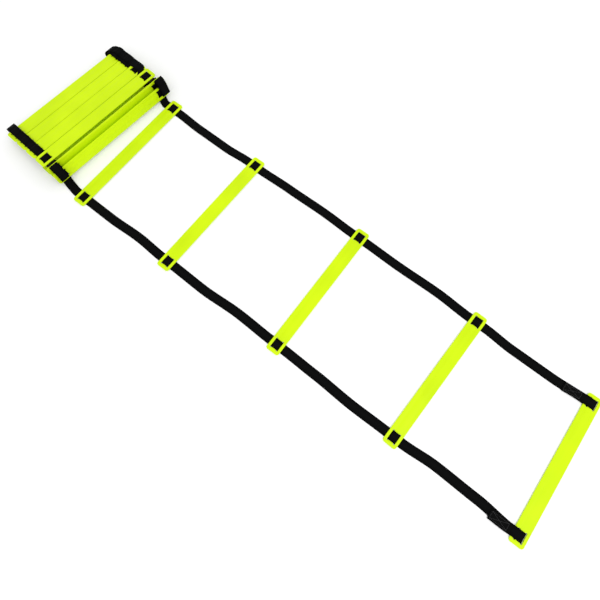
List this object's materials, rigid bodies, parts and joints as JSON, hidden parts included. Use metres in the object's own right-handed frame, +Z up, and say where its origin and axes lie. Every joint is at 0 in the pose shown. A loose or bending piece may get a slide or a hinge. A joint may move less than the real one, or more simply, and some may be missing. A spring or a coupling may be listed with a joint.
{
  "type": "agility ladder",
  "caption": "Flat slotted rungs on a pair of webbing straps for footwork drills, one end laid out flat and the other end wound into a flat roll.",
  "frame": {"origin": "on the floor under the middle of the bounding box", "axes": "+X along the ladder towards its free end, +Y across it towards the far strap, +Z up from the floor"},
  "size_m": [1.8042, 0.462, 0.0609],
  "materials": {
    "rung_yellow": "satin",
    "strap_black": "woven webbing"
  },
  "bodies": {
    "rolled_end": {"strap_5_near": "strap_black", "strap_5_far": "strap_black", "rung_06": "rung_yellow", "rung_07": "rung_yellow", "rung_08": "rung_yellow", "rung_09": "rung_yellow", "rung_10": "rung_yellow", "rung_11": "rung_yellow", "rung_12": "rung_yellow"},
    "rung_5": {"rung_05": "rung_yellow"},
    "panel_4": {"strap_4_near": "strap_black", "strap_4_far": "strap_black"},
    "rung_4": {"rung_04": "rung_yellow"},
    "panel_3": {"strap_3_near": "strap_black", "strap_3_far": "strap_black"},
    "rung_3": {"rung_03": "rung_yellow"},
    "panel_2": {"strap_2_near": "strap_black", "strap_2_far": "strap_black"},
    "rung_2": {"rung_02": "rung_yellow"},
    "panel_1": {"strap_1_near": "strap_black", "strap_1_far": "strap_black", "rung_01": "rung_yellow"}
  },
  "joints": [
    {"name": "fold_4", "type": "hinge", "parent": "rolled_end", "child": "panel_4", "pos_m": [-0.42392, -0.00631, 0.01675], "axis": [0, -1, 0], "range_deg": [0, 90]},
    {"name": "fold_3", "type": "hinge", "parent": "panel_4", "child": "panel_3", "pos_m": [-0.06692, -0.00631, 0.0134], "axis": [0, -1, 0], "range_deg": [0, 120]},
    {"name": "fold_2", "type": "hinge", "parent": "panel_3", "child": "panel_2", "pos_m": [0.32158, -0.00631, 0.01005], "axis": [0, -1, 0], "range_deg": [0, 180]},
    {"name": "fold_1", "type": "hinge", "parent": "panel_2", "child": "panel_1", "pos_m": [0.69783, -0.00631, 0.0067], "axis": [0, -1, 0], "range_deg": [0, 180]},
    {"name": "rung_5_slide", "type": "slide", "parent": "rolled_end", "child": "rung_5", "axis": [1, 0, 0], "range_m": [-0.01, 0.06], "deforming": ["strap_5_near", "strap_5_far"]},
    {"name": "rung_4_slide", "type": "slide", "parent": "panel_4", "child": "rung_4", "axis": [1, 0, 0], "range_m": [-0.06, 0.06], "deforming": ["strap_4_near", "strap_4_far"]},
    {"name": "rung_3_slide", "type": "slide", "parent": "panel_3", "child": "rung_3", "axis": [1, 0, 0], "range_m": [-0.06, 0.06], "deforming": ["strap_3_near", "strap_3_far"]},
    {"name": "rung_2_slide", "type": "slide", "parent": "panel_2", "child": "rung_2", "axis": [1, 0, 0], "range_m": [-0.06, 0.06], "deforming": ["strap_2_near", "strap_2_far"]}
  ]
}
